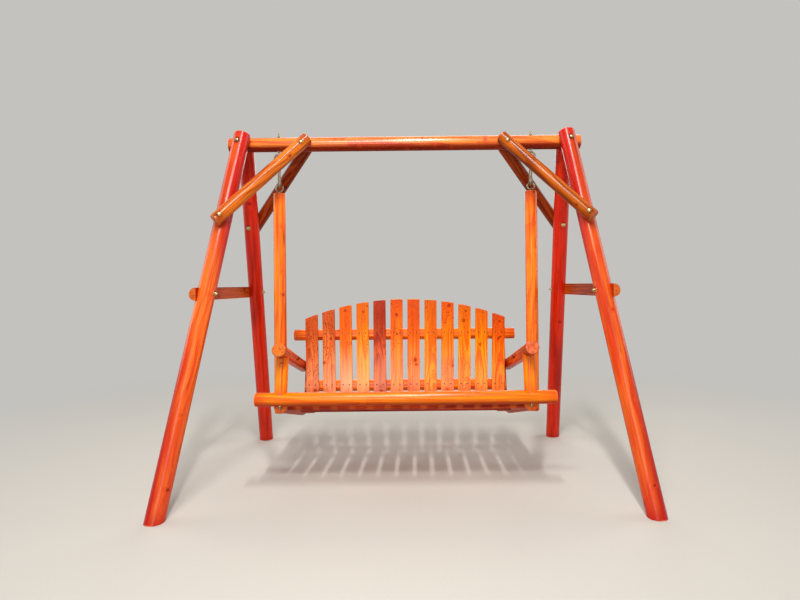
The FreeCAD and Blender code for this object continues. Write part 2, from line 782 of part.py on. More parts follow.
for rail_name, z, shift, half in (
        ("lower_back_rail", lower_rail_rise, back_shift, lower_rail_half_length),
        ("upper_back_rail", upper_rail_rise, upper_rail_shift, upper_rail_half_length)):
    rail = turned_log(V(shift - half, back_rail_y, z), V(shift + half, back_rail_y, z), bench_log)
    plane = Part.makeBox(2 * half, bench_log, 2 * bench_log,
                         V(shift - half, back_face + seat_gap - bench_log, z - bench_log))
    tools = rail_holes[z] + [plane] + [on_side(side, lag_space(side, z)) for side_name, side in sides]
    save_on_bench(rail_name, cut_all(rail, tools))

for side_name, side in sides:
    upright = turned_log(V(upright_x[side], upright_y, -upright_foot),
                         V(upright_x[side], upright_y, upright_top), bench_log)
    tools = [arm_cores[side], side_cores[side]]
    for z in rises:
        tools.append(rod(V(-upper_rail_half_length, back_rail_y, z),
                         V(upper_rail_half_length, back_rail_y, z), bench_log + 2 * seat_gap))
        tools.append(lag_space(side, z))
        tools.append(spot(V(upright_x[side], lag_face, z), BACK))
    for head, far in upright_bolts[side]:
        tools.append(bolt_bore(head, far))
        tools.append(spot(far, ACROSS * -1))
    save_on_bench(side_name + "_upright", on_side(side, cut_all(upright, tools)))

bolt_set("hanger", hanger_bolts, save_on_bench)
bolt_set("upright", upright_bolts, save_on_bench)
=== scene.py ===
# %% [markdown]
# # A log swing chair, dressed for the camera
# The object is a free-standing A-frame of turned logs with a slatted bench hung from its beam.
# The solids come from the construction model and stay where they are. This lesson gives them
# wood, varnish and zinc, and adds the small pieces that a construction model leaves plain.
# Everything is in metres: X runs along the beam, Y to the back, Z up from the ground.

import math

import bpy
import numpy as np
from mathutils import Matrix, Vector


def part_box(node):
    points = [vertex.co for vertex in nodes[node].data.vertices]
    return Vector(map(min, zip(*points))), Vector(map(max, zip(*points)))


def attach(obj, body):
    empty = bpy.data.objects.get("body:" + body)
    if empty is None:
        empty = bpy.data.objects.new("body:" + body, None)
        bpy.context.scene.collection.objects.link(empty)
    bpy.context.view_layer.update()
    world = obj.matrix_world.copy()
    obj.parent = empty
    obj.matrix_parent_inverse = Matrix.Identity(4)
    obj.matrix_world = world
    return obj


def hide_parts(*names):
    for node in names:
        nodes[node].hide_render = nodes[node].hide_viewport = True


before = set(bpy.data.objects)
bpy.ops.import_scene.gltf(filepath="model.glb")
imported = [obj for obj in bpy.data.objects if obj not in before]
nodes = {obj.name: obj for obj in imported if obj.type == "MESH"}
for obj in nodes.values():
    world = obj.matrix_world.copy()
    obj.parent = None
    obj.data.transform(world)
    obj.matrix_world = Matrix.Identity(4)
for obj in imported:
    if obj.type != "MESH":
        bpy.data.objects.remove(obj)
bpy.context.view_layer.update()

# %% [markdown]
# ## The camera
# A photograph fixes nine numbers: where the camera stood, how it was turned, its focal length
# and how the frame was cropped. Here it stood almost square to the beam, a little above the
# seat. A crop is a lens shift in Blender, which keeps the verticals upright.

# %% Camera at the photograph's angle
PHOTO_WIDTH = 800
FOCAL_PIXELS = 560
SENSOR_WIDTH = 36.0
CROP_RIGHT, CROP_DOWN = 16.5, 15.8
CAMERA_AT = (0.052, -2.8, 0.927)
CAMERA_ROLL = math.radians(0.594)

lens = bpy.data.cameras.new("photo_camera")
lens.sensor_width = SENSOR_WIDTH
lens.lens = SENSOR_WIDTH * FOCAL_PIXELS / PHOTO_WIDTH
lens.shift_x = -CROP_RIGHT / PHOTO_WIDTH
lens.shift_y = -CROP_DOWN / PHOTO_WIDTH
camera = bpy.data.objects.new("photo_camera", lens)
camera.location = CAMERA_AT
camera.rotation_euler = (math.radians(90), CAMERA_ROLL, 0)
bpy.context.scene.collection.objects.link(camera)
bpy.context.scene.camera = camera
print("lens in mm:", round(lens.lens, 2))

# %% [markdown]
# ## Shader sums written as Python
# A node tree is arithmetic drawn as boxes. Wrapping a socket in a small class lets the same
# arithmetic be written as an expression: every operator adds the Math node that it stands for.
# All other nodes come from one method, which sets a node's settings first and its sockets after.


# %% A number that varies over a surface
class Amount:
    """A node's output socket. Python's operators on it add Math nodes to the same recipe."""

    def __init__(self, recipe, socket):
        self.recipe = recipe
        self.socket = socket

    def maths(self, operation, first, second=0.0):
        """One Math node."""
        sockets = {0: first, 1: second}
        return self.recipe.add("ShaderNodeMath", {"operation": operation}, sockets)[0]

    def __add__(self, other):
        return self.maths("ADD", self, other)

    __radd__ = __add__

    def __sub__(self, other):
        return self.maths("SUBTRACT", self, other)

    def __rsub__(self, other):
        return self.maths("SUBTRACT", other, self)

    def __mul__(self, other):
        return self.maths("MULTIPLY", self, other)

    __rmul__ = __mul__

    def __truediv__(self, other):
        return self.maths("DIVIDE", self, other)

    def __rtruediv__(self, other):
        return self.maths("DIVIDE", other, self)

    def __pow__(self, other):
        return self.maths("POWER", self, other)

    def __abs__(self):
        return self.maths("ABSOLUTE", self)

    def higher(self, other):
        """The higher of two amounts."""
        return self.maths("MAXIMUM", self, other)

    def lower(self, other):
        """The lower of two amounts."""
        return self.maths("MINIMUM", self, other)

    def fraction(self):
        """What is left over after the whole number."""
        return self.maths("FRACT", self)

    def whole(self):
        """The whole number below."""
        return self.maths("FLOOR", self)

    def rise(self, low, high):
        """Nought below low, one above high, and a smooth slope between."""
        return self.recipe.add("ShaderNodeMapRange", {"interpolation_type": "SMOOTHSTEP"},
                               {0: self, 1: low, 2: high})[0]

    def fall(self, low, high):
        """One below low, nought above high."""
        return 1 - self.rise(low, high)


# %% The recipe that amounts belong to
class Recipe:
    """The node tree of a material or of the world, with a few short ways to common nodes."""

    def __init__(self, owner):
        owner.use_nodes = True
        self.owner = owner
        self.tree = owner.node_tree
        self.shader = self.tree.nodes.get("Principled BSDF")

    def add(self, kind, settings=None, sockets=None):
        """Add a node, with its settings first and its sockets after. Gives its outputs."""
        node = self.tree.nodes.new(kind)
        for key, value in (settings or {}).items():
            setattr(node, key, value)
        for key, value in (sockets or {}).items():
            self.fill(node.inputs[key], value)
        return [Amount(self, output) for output in node.outputs]

    def fill(self, socket, value):
        """Link an amount to a socket, or set a plain value there."""
        if isinstance(value, Amount):
            self.tree.links.new(value.socket, socket)
        else:
            socket.default_value = value

    def feed(self, **sockets):
        """Fill the shader's own sockets; an underscore in a name stands for a space."""
        for key, value in sockets.items():
            self.fill(self.shader.inputs[key.replace("_", " ")], value)

    def noise(self, place, factors, seed, detail=2.0, roughness=0.5):
        """Smooth noise from nought to one; factors are the bumps per metre along each axis."""
        stretched = self.add("ShaderNodeVectorMath", {"operation": "MULTIPLY"},
                             {0: place, 1: factors})[0]
        return self.add("ShaderNodeTexNoise", {"noise_dimensions": "4D"},
                        {"Vector": stretched, "W": seed, "Scale": 1.0,
                         "Detail": detail, "Roughness": roughness})[0]

    def mix(self, factor, first, second):
        """Two colours mixed by a factor."""
        return self.add("ShaderNodeMix", {"data_type": "RGBA", "blend_type": "MIX"},
                        {0: factor, 6: first, 7: second})[2]

    def bump(self, height, distance):
        """A normal bent by a height from nought to one, which stands for a distance in metres."""
        return self.add("ShaderNodeBump", {}, {"Strength": 1.0, "Distance": distance,
                                               "Height": height})[0]

    def dress(self, piece):
        """Make this the only material of a piece."""
        piece.data.materials.clear()
        piece.data.materials.append(self.owner)


def tint(tone):
    """A colour written in screen values from 0 to 255, as the linear values that nodes use."""
    share = np.array(tone) / 255
    linear = np.where(share <= 0.04045, share / 12.92, ((share + 0.055) / 1.055) ** 2.4)
    return (*linear.tolist(), 1.0)


print("screen value 128 as nodes see it:", round(tint((128, 128, 128))[0], 3))

# %% [markdown]
# ## Where the grain runs
# Wood has a direction: rings wrap round the length of the tree. Each log and board therefore
# needs its own axes before it can be coloured. The length of a piece is the direction in which
# its surface spreads most, which is the main eigenvector of its second moments.


# %% The axes of one piece
def surface_of(mesh):
    """A mesh's points, and its triangles as numbers of points."""
    points = np.empty(len(mesh.vertices) * 3)
    mesh.vertices.foreach_get("co", points)
    mesh.calc_loop_triangles()
    corners = np.empty(len(mesh.loop_triangles) * 3, dtype=np.int64)
    mesh.loop_triangles.foreach_get("vertices", corners)
    return points.reshape(-1, 3), corners.reshape(-1, 3)


def grain_frame(node, along=None):
    """The grain's axes as rows across, through and along, the middle and the half length.

    A triangle with corners a, b, c and area A adds A/12 (aa + bb + cc + ss) to the second
    moments, where s = a + b + c and aa is a's outer product with itself. The eigenvector with
    the largest eigenvalue is the length. The middle lies half way between the two ends."""
    points, corners = surface_of(nodes[node].data)
    a, b, c = (points[corners[:, k]] for k in range(3))
    area = np.linalg.norm(np.cross(b - a, c - a), axis=1) / 2
    middle = ((a + b + c) / 3 * area[:, None]).sum(0) / area.sum()
    if along is None:
        a, b, c = a - middle, b - middle, c - middle
        moments = sum((p * area[:, None]).T @ p for p in (a, b, c, a + b + c)) / 12
        along = np.linalg.eigh(moments)[1][:, -1]
        along = along * np.sign(along[np.argmax(np.abs(along))])
    along = np.array(along, float) / np.linalg.norm(along)
    guide = np.array([1.0, 0, 0]) if abs(along[0]) < 0.8 else np.array([0, -1.0, 0])
    across = guide - along * (guide @ along)
    across = across / np.linalg.norm(across)
    through = np.cross(along, across)
    reach = (points - middle) @ along
    middle = middle + along * (reach.max() + reach.min()) / 2
    return np.array([across, through, along]), middle, float(reach.max() - reach.min()) / 2


print("the beam's length in m:", round(2 * grain_frame("top_beam")[2], 3))

# %% [markdown]
# ## Where the bolts are
# Each bolt sits in a shallow seat, and the shade in that recess is painted on the log as a dark
# ring. The ring belongs to the log, so the log's finish has to know where the bolts come
# through. Their places are read from the solids: the points of one bolt are told apart from
# those of the next by which triangles share corners.

# %% Where each bolt ends
BOLT_KINDS = ("leg_top", "knee_brace", "cross_brace", "hanger", "upright")
HEAD_ZONE, NUT_ZONE = 0.004, 0.01
SHANK_LIMIT = 0.0056


def solids_of(node):
    """The points of each separate solid of a node.

    Every point starts with its own number. Each triangle gives its corners the lowest of their
    three numbers, again and again, until all the points of one solid share one."""
    points, corners = surface_of(nodes[node].data)
    points, same = np.unique(points.round(6), axis=0, return_inverse=True)
    corners = same.ravel()[corners]
    label, before = np.arange(len(points)), None
    while before is None or (label != before).any():
        before = label.copy()
        np.minimum.at(label, corners.ravel(), np.repeat(label[corners].min(1), 3))
    return [points[label == number] for number in np.unique(label)]


def bolt_ends(node):
    """The tip of each bolt of a node, the direction in which it points, and its head's place.

    The main axis of the points is the bolt's. Its tip is the end with the smaller radius."""
    ends = []
    for points in solids_of(node):
        middle = points.mean(0)
        along = np.linalg.eigh(np.cov((points - middle).T))[1][:, -1]
        reach = (points - middle) @ along
        radius = np.linalg.norm(points - middle - reach[:, None] * along, axis=1)
        wide_last = radius[reach > reach.max() - HEAD_ZONE].max()
        if wide_last > radius[reach < reach.min() + HEAD_ZONE].max():
            along, reach = -along, -reach
        tip = points[reach > reach.max() - 1e-4].mean(0)
        neck = points[(radius < SHANK_LIMIT) & (reach < reach.max() - NUT_ZONE)].mean(0)
        along = (tip - neck) / np.linalg.norm(tip - neck)
        ends.append((tip, along, tip - along * (reach.max() - reach.min())))
    return ends


BOLTS = {kind: bolt_ends(kind + "_bolts") for kind in BOLT_KINDS}
print("bolts:", {kind: len(ends) for kind, ends in BOLTS.items()})

# %% [markdown]
# ## Stained and varnished wood
# The frame is peeled and turned softwood under a thin orange-red stain and a glossy varnish.
# The grain is solid, not painted on: rings are distances from a wandering pith, so one formula
# gives long lines on a log's side, arches on a board's face and circles on a sawn end.
# Knots are cones that start at the pith, so they are cells on the directions out from it.
# The stain soaks in unevenly, darker in knots, in late wood, on ends and in broad patches.


# %% The wood of one piece
class Wood:
    """The wood of one node: its own axes, its noises, its tones and the colour so far.

    across, through and length are metres from the middle, end is one on a sawn end, and fibre,
    streak and patch are noises, from fine to broad. In a row of boards, the board's number moves
    the grain and the tone on, so that no two boards repeat."""

    def __init__(self, name, node, tones, seed, board, along, row):
        self.recipe = Recipe(bpy.data.materials.new(name))
        self.node, self.seed, self.board = node, seed, board
        self.pale, self.deep, self.blush = tones
        self.dark = tuple(int(v * s) for v, s in zip(self.deep, (0.46, 0.36, 0.34)))
        self.find_axes(along)
        self.tone_shift = 0.0
        if row:
            self.number_boards(*row)
        self.fibre = self.noise((900.0, 900.0, 14.0), 5.0, 2.0, 0.6)
        self.streak = self.noise((80.0, 80.0, 1.5), 7.0, 3.0, 0.6)
        self.patch = self.noise((7.0, 7.0, 2.4), 11.0, 3.0, 0.55)

    def find_axes(self, along):
        """Turn object coordinates into the piece's own; the end faces along the grain."""
        axes, middle, self.half = grain_frame(self.node, along)
        coordinates = self.recipe.add("ShaderNodeTexCoord")
        turn = Matrix(axes.tolist())
        self.place = self.recipe.add("ShaderNodeMapping", {"vector_type": "POINT"},
                                     {"Vector": coordinates[3],
                                      "Location": -(turn @ Vector(middle)),
                                      "Rotation": turn.to_euler("XYZ")})[0]
        facing = self.recipe.add("ShaderNodeVectorMath", {"operation": "DOT_PRODUCT"},
                                 {0: coordinates[1], 1: axes[2].tolist()})[1]
        self.end = abs(facing).rise(0.55, 0.9)
        self.across, self.through, self.length = self.recipe.add(
            "ShaderNodeSeparateXYZ", {}, {0: self.place})

    def number_boards(self, count, pitch):
        """Start each board of a row afresh, with a grain and a tone of its own."""
        number = (self.across / pitch + count / 2).whole()
        self.across = self.across - (number - (count - 1) / 2) * pitch
        self.place = self.recipe.add("ShaderNodeCombineXYZ", {}, {
            0: self.across, 1: self.through, 2: self.length + number * 3.71})[0]
        chance = self.recipe.add("ShaderNodeTexWhiteNoise", {"noise_dimensions": "1D"},
                                 {"W": number + self.seed})[0]
        self.tone_shift = (chance - 0.5) * 0.5

    def noise(self, factors, step, detail=2.0, roughness=0.5):
        """Noise in the piece's own axes, told apart from its other noises by a step."""
        return self.recipe.noise(self.place, factors, self.seed + step, detail, roughness)

    def cover(self, share, tone):
        """Lay a tone over the colour so far."""
        tone = tone if isinstance(tone, Amount) else tint(tone)
        self.colour = self.recipe.mix(share, self.colour, tone)


def scaled(tone, share):
    """A darker tone."""
    return tuple(int(v * share) for v in tone)


# %% [markdown]
# ### Rings and knots
# A knot is a branch that grew out from the pith. So each surface point is pushed out from the
# pith to one fixed distance, the shell, and cells there cover whole rays. The larger knots that
# the photograph shows on the slats are listed one by one, as rounded spots.

# %% Rings and knots
PITH_STRAYS = {"board": 0.035, "log": 0.012}
KNOT_SHELL = {"board": 0.06, "log": 0.033}
RIPPLE, TAPER, KNOT_SWELL = 0.005, 0.006, 2.4


def knot_cells(wood, off_x, off_y, pith_distance, share, size, spacing):
    """Knots: how near a surface point is to one, how near to its core, and its ripple of rings.

    A cell keeps its knot only if its random number is below the share."""
    add = wood.recipe.add
    scale = KNOT_SHELL["board" if wood.board else "log"] / pith_distance
    ray = add("ShaderNodeCombineXYZ", {}, {0: off_x * scale, 1: off_y * scale,
                                           2: wood.length + wood.seed * 1.7})[0]
    distance, colour, _ = add("ShaderNodeTexVoronoi", {"voronoi_dimensions": "3D"},
                              {"Vector": ray, "Scale": 1 / spacing, "Randomness": 0.9})[:3]
    red, green, _ = add("ShaderNodeSeparateColor", {}, {0: colour})
    kept = red.fall(share - 0.01, share + 0.01)
    radius = (green * 0.6 + 0.6) * size
    away = distance * spacing / radius
    return away.fall(0.75, 1.15) * kept, away.fall(1.0, 3.0) * kept, away


def grow(wood, ring, pith, knot_share, knot_size, knot_spacing, big_knots):
    """Ring distance = distance from the pith + ripple + taper along the log + swell at knots.

    Late wood is the dark end of each ring's fraction."""
    stray = PITH_STRAYS["board" if wood.board else "log"]
    drift = wood.noise((3.0, 3.0, 2.2), 0.0, 1.0) - 0.5
    sway = wood.noise((3.0, 3.0, 2.6), 9.0, 1.0) - 0.5
    off_x = wood.across - pith[0] + drift * stray
    off_y = wood.through - pith[1] + sway * stray
    pith_distance = (off_x ** 2 + off_y ** 2 + 1e-7) ** 0.5
    knot, halo, away = knot_cells(wood, off_x, off_y, pith_distance, knot_share, knot_size,
                                  knot_spacing)
    warp = wood.noise((120.0, 120.0, 90.0), 51.0, 2.0)
    for sideways, below_top, radius in big_knots:
        down = (wood.length - (wood.half - below_top)) * 0.8
        apart = ((wood.across - sideways) ** 2 + down ** 2) ** 0.5 / radius + (warp - 0.5) * 0.9
        knot = knot.higher(apart.fall(0.55, 1.0))
        halo = halo.higher(apart.fall(0.9, 2.4))
        away = away.lower(apart)
    ripple = wood.noise((22.0, 22.0, 3.0), 3.0, 2.0)
    depth = (pith_distance + ripple * RIPPLE + wood.length * TAPER
             + halo ** 2 * ring * KNOT_SWELL)
    growth = (depth / ring).fraction()
    wood.late = growth.rise(0.3, 0.86) * growth.fall(0.92, 1.0)
    wood.knot, wood.halo, wood.away = knot, halo, away


# %% [markdown]
# ### The stain
# One tone would look like paint. The stain's depth adds late wood, broad patches, long streaks
# and fine fibres, and mixes the pale tone with the deep one. Redder patches lie over that.


# %% Stain on the sides of a piece
def stain(wood, blush_share, contrast):
    """Depth of stain = contrast times the sum of ring, streak, patch and fibre, plus a level."""
    depth = (wood.late * 0.5 + (wood.streak - 0.5) * 2.2 + (wood.patch - 0.5) * 1.7
             + (wood.fibre - 0.5) * 0.9) * contrast + 0.30 + wood.tone_shift
    wood.colour = wood.recipe.mix(depth.rise(0.0, 1.0), tint(wood.pale), tint(wood.deep))
    wood.red_patch = wood.noise((11.0, 11.0, 1.9), 17.0, 3.0, 0.6)
    border = 0.70 - blush_share * 0.45
    wood.cover(wood.red_patch.rise(border, border + 0.16) * (0.45 + 0.4 * wood.streak),
               wood.blush)


def stain_foot(wood, foot_tone, share):
    """Another tone that grows towards the foot, and a deeper one towards the top."""
    half = wood.half
    low = wood.length.fall(-half * 0.95, half * 0.25) * (0.55 + 0.8 * wood.red_patch) * share
    wood.cover(low, foot_tone)
    wood.cover(wood.length.rise(-half * 0.2, half * 0.8) * (wood.patch * 1.7),
               scaled(wood.deep, 0.92))


def stain_wound(wood, hand):
    """Red that passes from one side at the foot to the other at the top: across times length."""
    wood.cover((wood.across * wood.length * hand).rise(0.001, 0.012)
               * (0.65 + 0.6 * wood.red_patch), wood.blush)


def paint_underside_shade(wood, share, gloss):
    """Painted shade: a darker colour towards the underside, with less coat there. Gives the gloss
    that is left.
    """
    shade_below = wood.through.rise(0.001, 0.024) * (0.7 + 0.5 * wood.streak) * share
    wood.cover(shade_below, scaled(wood.blush, 0.74))
    return gloss * (1 - shade_below * 0.85)


def painted_light_patches(wood, pitch, tone=(232, 108, 44)):
    """Painted patches of light at whole pitches from the middle."""
    off_middle = abs((wood.length / pitch).fraction() - 0.5)
    wood.cover(off_middle.rise(0.22, 0.42) * (0.15 + 0.5 * wood.patch), tone)


# %% [markdown]
# ### Cracks, ends, knots and bolt seats
# A crack or a vein is a thin line where a long noise crosses its middle value. Stain soaks into
# the last few centimetres of every piece, and the eased rim of a sawn end is rubbed pale.

# %% Cracks, ends, knots and bolt seats
SOAK_DEPTH, SOAK_END = 0.075, 0.004
RIM_DEPTH, RIM_END = 0.0042, 0.0026
SEAT_RADIUS, SEAT_EDGE, NEAR_PIECE = 0.0135, 0.021, 0.02


def crack(wood, cracks):
    """Dark fissures, and finer veins between them."""
    split = wood.noise((34.0, 34.0, 0.9), 37.0, 1.0) - 0.5
    wood.fissure = abs(split).fall(0.0035, 0.009) * wood.patch.rise(0.5, 0.62) * cracks
    wood.cover(wood.fissure, wood.dark)
    vein = wood.noise((75.0, 75.0, 1.1), 47.0, 2.0) - 0.5
    wood.cover(abs(vein).fall(0.004, 0.03) * (0.2 + 0.5 * wood.patch), scaled(wood.deep, 0.72))


def saw_ends(wood, end_stain, end_tone):
    """Soaked last centimetres, a pale rim, and a mottled cut face that shows the rings."""
    half, from_middle = wood.half, abs(wood.length)
    soaked = from_middle.rise(half - SOAK_DEPTH, half - SOAK_END) * end_stain
    wood.cover(soaked * (wood.patch + 0.35), wood.blush)
    rim = from_middle.rise(half - RIM_DEPTH, half - RIM_END) * (1 - wood.end)
    wood.cover(rim * (0.25 + 0.5 * wood.streak),
               tuple(min(255, int(v * 0.6 + 100)) for v in wood.pale))
    mottle = wood.noise((90.0, 90.0, 90.0), 41.0, 3.0, 0.65)
    cut_face = wood.recipe.mix(wood.late * 0.5 + mottle.rise(0.46, 0.62) * 0.45,
                               tint(end_tone), tint(wood.deep))
    wood.cover(wood.end * 0.85, cut_face)


def show_knots(wood):
    """A brown core with its own fine rings and a redder halo."""
    core = wood.recipe.mix((wood.away * 3.3).fraction() * 0.5, tint(wood.dark), tint(wood.deep))
    wood.cover(wood.halo ** 2 * 0.6, wood.deep)
    wood.cover(wood.knot * 0.92, core)


def fleck(wood, specks):
    """Small dark specks in clusters, more of them towards the top."""
    dots = wood.noise((230.0, 230.0, 120.0), 23.0, 2.0)
    where = wood.noise((13.0, 13.0, 9.0), 29.0, 2.0)
    above = wood.length.rise(-wood.half * 0.9, wood.half * 0.8)
    wood.cover(dots.rise(0.56, 0.66) * (where + above * 0.12).rise(0.47, 0.62) * specks,
               wood.dark)


def paint_bolt_seat_shade(wood, bolt_seat_shade):
    """Painted shade: dark rings where a bolt's head or tip comes through this piece, for the
    shade in its recess.
    """
    low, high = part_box(wood.node)
    spots = [point for ends in BOLTS.values() for tip, _, head in ends for point in (tip, head)
             if all(low[k] - NEAR_PIECE < point[k] < high[k] + NEAR_PIECE for k in range(3))]
    if not spots:
        return
    place = wood.recipe.add("ShaderNodeTexCoord")[3]
    seat_shade = 0.0
    for point in spots:
        away = wood.recipe.add("ShaderNodeVectorMath", {"operation": "DISTANCE"},
                               {0: place, 1: point.tolist()})[1]
        seat_shade = seat_shade + away.fall(SEAT_RADIUS, SEAT_EDGE)
    wood.cover(seat_shade * bolt_seat_shade, wood.dark)


# %% [markdown]
# ### Varnish
# Old varnish on a log is not a mirror. It is a clear coat with a soft edge to its reflections
# over wood that hardly shines by itself. Fibres and rings stand a little proud under it, and the
# peeled surface is never quite round.

# %% Varnish, and the whole finish of a piece
RELIEF = {"board": 0.0006, "log": 0.0012}
WARM_SHEEN = (1.0, 0.82, 0.6, 1.0)


def varnish(wood, gloss):
    """The coat, and a relief of fibre, late wood, swell, streak and knot less the cracks."""
    wood.recipe.feed(Base_Color=wood.colour,
                     Roughness=0.42 + (wood.fibre - 0.5) * 0.14 + wood.end * 0.2,
                     Coat_Weight=gloss * (1 - wood.end * 0.7), Coat_Roughness=0.23,
                     Coat_IOR=1.45, IOR=1.45, Specular_IOR_Level=0.06,
                     Specular_Tint=WARM_SHEEN)
    swell = wood.noise((30.0, 30.0, 7.0), 31.0, 1.0)
    height = (wood.fibre * 0.05 + wood.late * 0.05 + swell * 0.3 + wood.streak * 0.1
              + wood.knot * 0.2 - wood.fissure * 0.5)
    relief = RELIEF["board" if wood.board else "log"]
    wood.recipe.feed(Normal=wood.recipe.bump(height, relief))
    wood.recipe.dress(nodes[wood.node])


def stained_wood(name, node, tones, seed, ring=0.0038, pith=(0.004, 0.003), blush_share=0.35,
                 knot_share=0.5, knot_size=0.0075, knot_spacing=0.07, end_stain=0.5, specks=0.0,
                 cracks=0.6, board=False, along=None, row=None, end_tone=(222, 118, 52),
                 foot_tone=None, foot_share=1.0, contrast=0.75, gloss=0.6, twist=0, under=0.0,
                 bolt_seat_shade=0.3, light_patch_pitch=0.0, big_knots=()):
    """A finish for one node, from the tree to the varnish.

    Lengths are in metres: ring is a year's growth, pith is where the tree's middle lies across
    and through the piece, row is a number of boards and their pitch, and a big knot is how far
    it lies to the side and below the top, with its radius. The other numbers are shares or
    levels, from nought to about one; twist is 1 or -1 for red that winds one way or the other."""
    wood = Wood(name, node, tones, seed, board, along, row)
    grow(wood, ring, pith, knot_share, knot_size, knot_spacing, big_knots)
    stain(wood, blush_share, contrast)
    if foot_tone:
        stain_foot(wood, foot_tone, foot_share)
    if twist:
        stain_wound(wood, twist)
    # Painted shade towards the underside
    if under:
        gloss = paint_underside_shade(wood, under, gloss)
    # Painted patches of light
    if light_patch_pitch:
        painted_light_patches(wood, light_patch_pitch)
    crack(wood, cracks)
    saw_ends(wood, end_stain, end_tone)
    show_knots(wood)
    if specks:
        fleck(wood, specks)
    # Painted shade round the bolts
    paint_bolt_seat_shade(wood, bolt_seat_shade)
    varnish(wood, gloss)


# %% [markdown]
# ## The logs
# No two logs took the stain alike: the front legs are orange with crimson tops and feet, the
# rear legs deep red, the front rail bright orange, the braces a browner orange, the right front
# brace darker than the left. The rear braces and the seat bearers are given darker tones as
# painted shade, for they stand behind and under other parts. Each kind of log is listed with its
# pale tone, its deep tone and its reddest patches. The front bearer gets painted patches of light
# below the rail, one for each board of the seat.

# %% Tones of the logs, in screen values
SEAT_BOARDS, SEAT_PITCH, SEAT_TILT = 13, 0.0798, math.radians(14)
LOG_TONES = {
    "front_leg": ((234, 116, 36), (206, 58, 8), (180, 16, 8)),
    "rear_leg": ((222, 44, 1), (194, 20, 1), (152, 7, 1)),
    "top_beam": ((240, 128, 44), (196, 60, 8), (160, 28, 2)),
    "front_left_knee": ((214, 114, 20), (156, 56, 5), (134, 38, 4)),
    "front_right_knee": ((182, 90, 10), (122, 42, 2), (98, 22, 2)),
    # The rear braces' darker tones are painted shade.
    "rear_knee": ((158, 62, 10), (110, 30, 3), (94, 20, 2)),
    "cross_brace": ((204, 90, 22), (150, 46, 6), (168, 18, 8)),
    "hanging_post": ((242, 126, 20), (214, 74, 6), (190, 44, 4)),
    "front_rail": ((255, 140, 1), (238, 88, 1), (204, 40, 1)),
    "arm_support": ((252, 144, 4), (234, 92, 2), (208, 56, 2)),
    "armrest": ((228, 100, 16), (168, 46, 6), (144, 24, 8)),
    "side_rail": ((238, 100, 8), (204, 56, 2), (172, 28, 2)),
    "upright": ((216, 82, 8), (172, 42, 2), (144, 24, 2)),
    # The bearers' dark tones are painted shade under the seat and the rail.
    "seat_bearer": ((190, 56, 3), (134, 24, 2), (104, 12, 1)),
    "back_rail": ((248, 132, 16), (206, 68, 3), (172, 36, 3)),
}
# What sets a kind of log apart, or one log of its kind
# Some extras paint light and shade: a darker underside of horizontal logs, dark rings round the
# bolts, and patches of light on the front bearer.
LOG_EXTRAS = {
    "front_leg": {"end_stain": 0.8, "blush_share": 0.4, "bolt_seat_shade": 0.8,
                  "foot_tone": (202, 44, 18), "foot_share": 0.55},
    "left_front_leg": {"twist": 1},
    "right_front_leg": {"twist": -1},
    "rear_leg": {"end_stain": 0.6, "contrast": 0.55},
    "top_beam": {"under": 1.0, "gloss": 1.0, "blush_share": 0.2},
    "front_left_knee": {"contrast": 1.1, "cracks": 1.0},
    "front_right_knee": {"contrast": 1.1, "cracks": 1.0, "gloss": 0.4},
    "rear_knee": {"contrast": 1.1, "gloss": 0.3},
    "cross_brace": {"end_stain": 0.9, "cracks": 1.0, "contrast": 1.0, "gloss": 0.3},
    "armrest": {"end_tone": (226, 128, 44), "end_stain": 0.7, "contrast": 1.2, "gloss": 0.4},
    "right_armrest": {"end_tone": (244, 132, 84), "end_stain": 1.0},
    "upright": {"gloss": 0.4},
    "seat_bearer": {"gloss": 0.15},
    "front_seat_bearer": {"light_patch_pitch": SEAT_PITCH},
    "side_rail": {"under": 0.5, "gloss": 0.2},
    "front_rail": {"blush_share": 0.3, "end_tone": (248, 148, 34), "contrast": 0.7,
                   "under": 0.9},
}
# The nodes of each kind; any other kind is a left one and a right one
LOGS = {"top_beam": ["top_beam"], "front_rail": ["front_rail"],
        "front_left_knee": ["front_left_knee_brace"],
        "front_right_knee": ["front_right_knee_brace"],
        "rear_knee": ["rear_left_knee_brace", "rear_right_knee_brace"],
        "seat_bearer": ["front_seat_bearer", "rear_seat_bearer"],
        "back_rail": ["lower_back_rail", "upper_back_rail"]}
seed = 3.1
for kind, tones in LOG_TONES.items():
    for node in LOGS.get(kind, ["left_" + kind, "right_" + kind]):
        extras = {**LOG_EXTRAS.get(kind, {}), **LOG_EXTRAS.get(node, {})}
        stained_wood("stain_" + node, node, tones, seed, **extras)
        seed += 2.37
print("kinds of log stained:", len(LOG_TONES))

# %% [markdown]
# ## The boards
# The twelve back slats run from salmon over yellow-orange to one dark red board, darker at the
# top and paler and pinker at the foot. Their faces are sawn at some distance from the pith, so
# the same rings become arches and long stripes. The seat's thirteen boards are one node, so
# each board's tone comes from its place in the row.

# %% Tones of the boards
BOARD_TONES = {
    "salmon": ((240, 134, 56), (198, 74, 18), (186, 70, 36)),
    "amber": ((255, 166, 2), (228, 98, 1), (198, 84, 16)),
    "orange": ((255, 146, 2), (228, 82, 1), (196, 68, 14)),
    "oxblood": ((226, 92, 30), (160, 36, 6), (166, 50, 36)),
    "flame": ((254, 144, 3), (226, 78, 1), (192, 56, 8)),
}
FOOT_TONE = (252, 192, 152)
# Each slat's tones, from the left, and how much of the foot tone it has
BACK_SLATS = [("salmon", 0.4), ("salmon", 0.5), ("orange", 0.9), ("amber", 0.55),
              ("oxblood", 0.4), ("orange", 0.45), ("orange", 0.35), ("amber", 0.2),
              ("orange", 0.4), ("amber", 0.25), ("amber", 0.25), ("flame", 0.15)]
